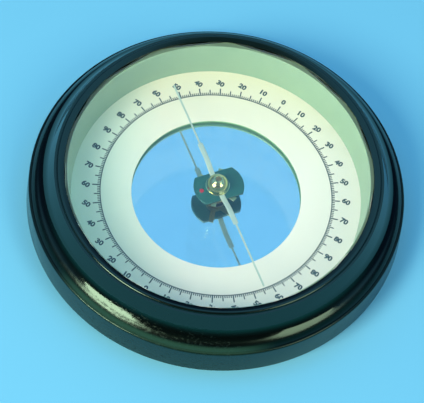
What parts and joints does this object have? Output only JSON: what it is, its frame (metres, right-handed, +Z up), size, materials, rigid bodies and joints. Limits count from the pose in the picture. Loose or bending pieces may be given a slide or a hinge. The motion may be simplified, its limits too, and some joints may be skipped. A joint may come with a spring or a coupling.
{
  "type": "deflection magnetometer",
  "caption": "Round black compass box with a glazed well, a ring scale marked in degrees round a mirror, and a pivoted magnet with a long light pointer.",
  "frame": {"origin": "centre of the plane that the case stands on, on the axis of the pivot", "axes": "+Z up along the pivot; +Y from the centre to the zero of the scale beside which the numerals read upright; +X to the right when that zero is at the top"},
  "size_m": [0.1626, 0.1626, 0.0272],
  "materials": {
    "case_black": "moulded black plastic, polished",
    "ring_black": "moulded black plastic, polished",
    "clear_glass": "clear sheet glass with cut edges",
    "seal_black": "black sealing compound",
    "liner_white": "off-white plastic, satin",
    "scale_white": "white enamelled aluminium with a printed scale",
    "mirror_glass": "silvered glass",
    "packing_felt": "green felt",
    "turned_brass": "turned",
    "sheet_brass": "thin sheet, dull",
    "polished_brass": "polished and lacquered",
    "fibre": "vulcanised fibre",
    "point_steel": "hardened and ground steel",
    "magnet_steel": "blackened magnet steel",
    "red_enamel": "red enamel dot",
    "pointer_aluminium": "rolled thin sheet",
    "agate": "polished brown agate"
  },
  "bodies": {
    "case": {"case_body": "case_black", "top_ring": "ring_black", "glass_cover": "clear_glass", "glass_seal": "seal_black", "wall_ring": "liner_white", "scale_ring": "scale_white", "mirror_disc": "mirror_glass", "mirror_packing": "packing_felt", "pivot_screw": "turned_brass", "post_washer": "fibre", "pivot_post": "turned_brass", "pivot_point": "point_steel"},
    "needle": {"magnet_bar": "magnet_steel", "pole_mark": "red_enamel", "magnet_clip": "sheet_brass", "hub_tube": "turned_brass", "hub_spacer": "turned_brass", "pointer": "pointer_aluminium", "bearing_cap": "polished_brass", "cap_jewel": "agate"}
  },
  "joints": [
    {"name": "needle_turn", "type": "hinge", "parent": "case", "child": "needle", "pos_m": [0, 0, 0.0163], "axis": [0, 0, 1], "continuous": true}
  ]
}
